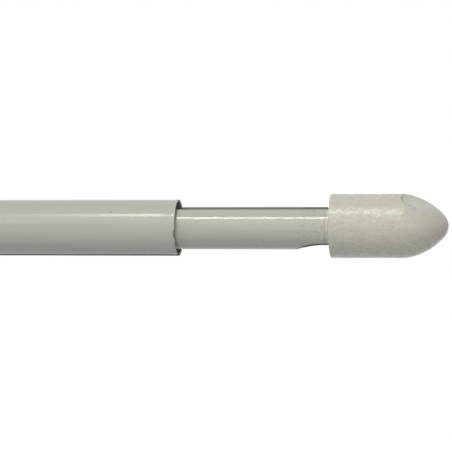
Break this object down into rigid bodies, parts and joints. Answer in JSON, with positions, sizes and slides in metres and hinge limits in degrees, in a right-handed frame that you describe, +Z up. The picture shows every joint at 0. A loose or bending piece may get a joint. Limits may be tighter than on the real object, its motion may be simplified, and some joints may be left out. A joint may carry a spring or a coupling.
{
  "type": "extendable curtain rod",
  "caption": "Telescopic net-curtain rod: two painted steel tubes, rolled from strip with an open slit, the slimmer sliding and turning inside the other, each end closed by a bullet-shaped plastic cap.",
  "frame": {"origin": "on the rod's axis, at the mouth of the outer tube", "axes": "+X along the rod, out of the mouth towards the inner tube's end cap; the front of the rod faces -Y; +Z up"},
  "size_m": [0.4353, 0.0146, 0.0151],
  "materials": {
    "painted_steel": "semi-gloss off-white enamel",
    "cap_plastic": "satin off-white moulding",
    "plug_nylon": "natural nylon"
  },
  "bodies": {
    "outer_rod": {"outer_tube": "painted_steel", "outer_end_cap": "cap_plastic"},
    "slider": {"friction_plug": "plug_nylon"},
    "inner_rod": {"inner_tube": "painted_steel", "inner_end_cap": "cap_plastic"}
  },
  "joints": [
    {"name": "rod_slide", "type": "slide", "parent": "outer_rod", "child": "slider", "axis": [1, 0, 0], "range_m": [-0.0355, 0.1645]},
    {"name": "rod_turn", "type": "hinge", "parent": "slider", "child": "inner_rod", "pos_m": [0, 0, 0], "axis": [1, 0, 0], "continuous": true}
  ]
}
